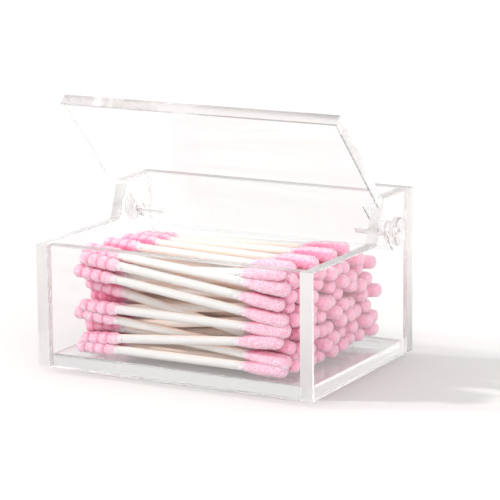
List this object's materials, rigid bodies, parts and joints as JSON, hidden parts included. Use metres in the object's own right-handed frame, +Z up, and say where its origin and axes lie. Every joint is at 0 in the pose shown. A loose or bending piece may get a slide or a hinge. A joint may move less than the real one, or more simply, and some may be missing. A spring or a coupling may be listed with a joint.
{
  "type": "cotton swab holder",
  "caption": "Clear acrylic box with a hinged T-shaped lid, shown half open, filled with pink-tipped cotton swabs lying in layers",
  "frame": {"origin": "on the floor under the middle of the box", "axes": "+X to the right seen from the front, +Y to the back, +Z up"},
  "size_m": [0.0998, 0.07, 0.085],
  "materials": {
    "clear_acrylic": "polished clear sheet",
    "clear_hinge": "polished clear",
    "clear_foot": "clear soft pad",
    "paper_stick": "rolled white paper",
    "pink_cotton": "dyed wound cotton"
  },
  "bodies": {
    "box": {"base_panel": "clear_acrylic", "front_wall": "clear_acrylic", "back_wall": "clear_acrylic", "left_wall": "clear_acrylic", "right_wall": "clear_acrylic", "front_left_foot": "clear_foot", "front_right_foot": "clear_foot", "rear_left_foot": "clear_foot", "rear_right_foot": "clear_foot", "layer_1_sticks": "paper_stick", "layer_2_sticks": "paper_stick", "layer_3_sticks": "paper_stick", "layer_4_sticks": "paper_stick", "layer_5_sticks": "paper_stick", "layer_6_sticks": "paper_stick", "layer_7_sticks": "paper_stick", "layer_8_sticks": "paper_stick", "layer_1_ribbed_tips": "pink_cotton", "layer_2_ribbed_tips": "pink_cotton", "layer_3_ribbed_tips": "pink_cotton", "layer_4_ribbed_tips": "pink_cotton", "layer_5_ribbed_tips": "pink_cotton", "layer_6_ribbed_tips": "pink_cotton", "layer_7_ribbed_tips": "pink_cotton", "layer_8_ribbed_tips": "pink_cotton", "layer_1_plain_tips": "pink_cotton", "layer_2_plain_tips": "pink_cotton", "layer_3_plain_tips": "pink_cotton", "layer_4_plain_tips": "pink_cotton", "layer_5_plain_tips": "pink_cotton", "layer_6_plain_tips": "pink_cotton", "layer_7_plain_tips": "pink_cotton", "layer_8_plain_tips": "pink_cotton"},
    "lid": {"lid_plate": "clear_acrylic", "left_hinge_pin": "clear_hinge", "right_hinge_pin": "clear_hinge", "left_hinge_spacer": "clear_hinge", "right_hinge_spacer": "clear_hinge"}
  },
  "joints": [
    {"name": "lid_hinge", "type": "hinge", "parent": "box", "child": "lid", "pos_m": [0, 0.0215, 0.0432], "axis": [-1, 0, 0], "range_deg": [-46, 68]}
  ]
}
